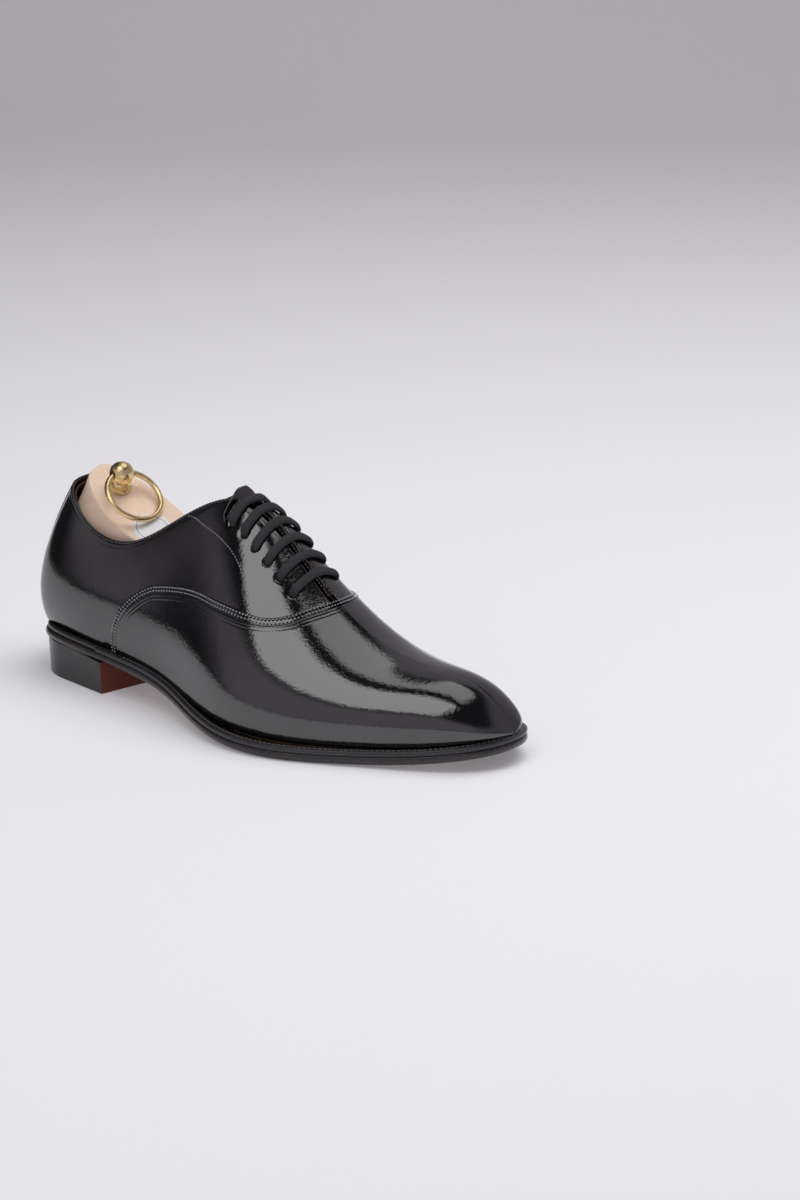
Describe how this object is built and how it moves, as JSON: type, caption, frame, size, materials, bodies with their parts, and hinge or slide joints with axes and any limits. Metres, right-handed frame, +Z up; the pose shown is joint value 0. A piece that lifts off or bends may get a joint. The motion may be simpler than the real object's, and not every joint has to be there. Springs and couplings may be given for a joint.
{
  "type": "oxford shoe with shoe tree",
  "caption": "Right-foot lace-up oxford shoe in gloss leather with a welted sole and stacked heel, holding a hinged wooden shoe tree with a brass knob and pull ring.",
  "frame": {"origin": "middle of the shoe's length and of the sole's width, on the ground plane that the heel and the ball rest on", "axes": "+X towards the toe, -Y towards the outer (lateral) side, +Z up"},
  "size_m": [0.2974, 0.1088, 0.1153],
  "materials": {
    "patent_quarter": "high-gloss patent black",
    "patent_vamp": "high-gloss patent black",
    "edge_binding": "semi-gloss black",
    "lining_leather": "matt dark brown",
    "stiffener": "raw",
    "stay_cloth": "plain weave",
    "lace_cord": "matt woven black",
    "insole_leather": "raw",
    "cork": "granular",
    "shank_steel": "plain",
    "welt_leather": "waxed black",
    "sole_leather": "waxed black edge, brown underside",
    "heel_leather": "waxed black sides, brown breast",
    "top_rubber": "matt",
    "nail_brass": "worn",
    "tree_wood": "satin beech",
    "tree_brass": "satin",
    "label_paper": "plain"
  },
  "bodies": {
    "shoe": {"vamp": "patent_vamp", "quarter_lateral": "patent_quarter", "quarter_medial": "patent_quarter", "back_strip": "patent_vamp", "topline_binding": "edge_binding", "tongue": "patent_quarter", "lace": "lace_cord", "vamp_lining": "lining_leather", "quarter_lining_lateral": "lining_leather", "quarter_lining_medial": "lining_leather", "heel_counter": "stiffener", "toe_puff": "stiffener", "facing_stay_lateral": "stay_cloth", "facing_stay_medial": "stay_cloth", "insole": "insole_leather", "sock_liner": "lining_leather", "cork_filler": "cork", "shank": "shank_steel", "welt": "welt_leather", "heel_rand": "welt_leather", "outsole": "sole_leather", "heel_lift_1": "heel_leather", "heel_lift_2": "heel_leather", "heel_lift_3": "heel_leather", "top_piece": "heel_leather", "top_piece_insert": "top_rubber", "heel_nails": "nail_brass", "tree_forepart": "tree_wood", "tree_leaf_front": "tree_brass", "tree_hinge_pin": "tree_brass"},
    "tree_heel": {"tree_heel_block": "tree_wood", "tree_leaf_rear": "tree_brass", "tree_knob": "tree_brass", "tree_knob_screw": "tree_brass", "tree_label": "label_paper"},
    "ring": {"pull_ring": "tree_brass"}
  },
  "joints": [
    {"name": "tree_heel_tilt", "type": "hinge", "parent": "shoe", "child": "tree_heel", "pos_m": [-0.02664, 0.00435, 0.025], "axis": [0, 1, 0], "range_deg": [0, 7]},
    {"name": "ring_swing", "type": "hinge", "parent": "tree_heel", "child": "ring", "pos_m": [-0.09878, 0.00591, 0.1088], "axis": [-0.184, -0.9829, 0], "range_deg": [0, 205]}
  ]
}
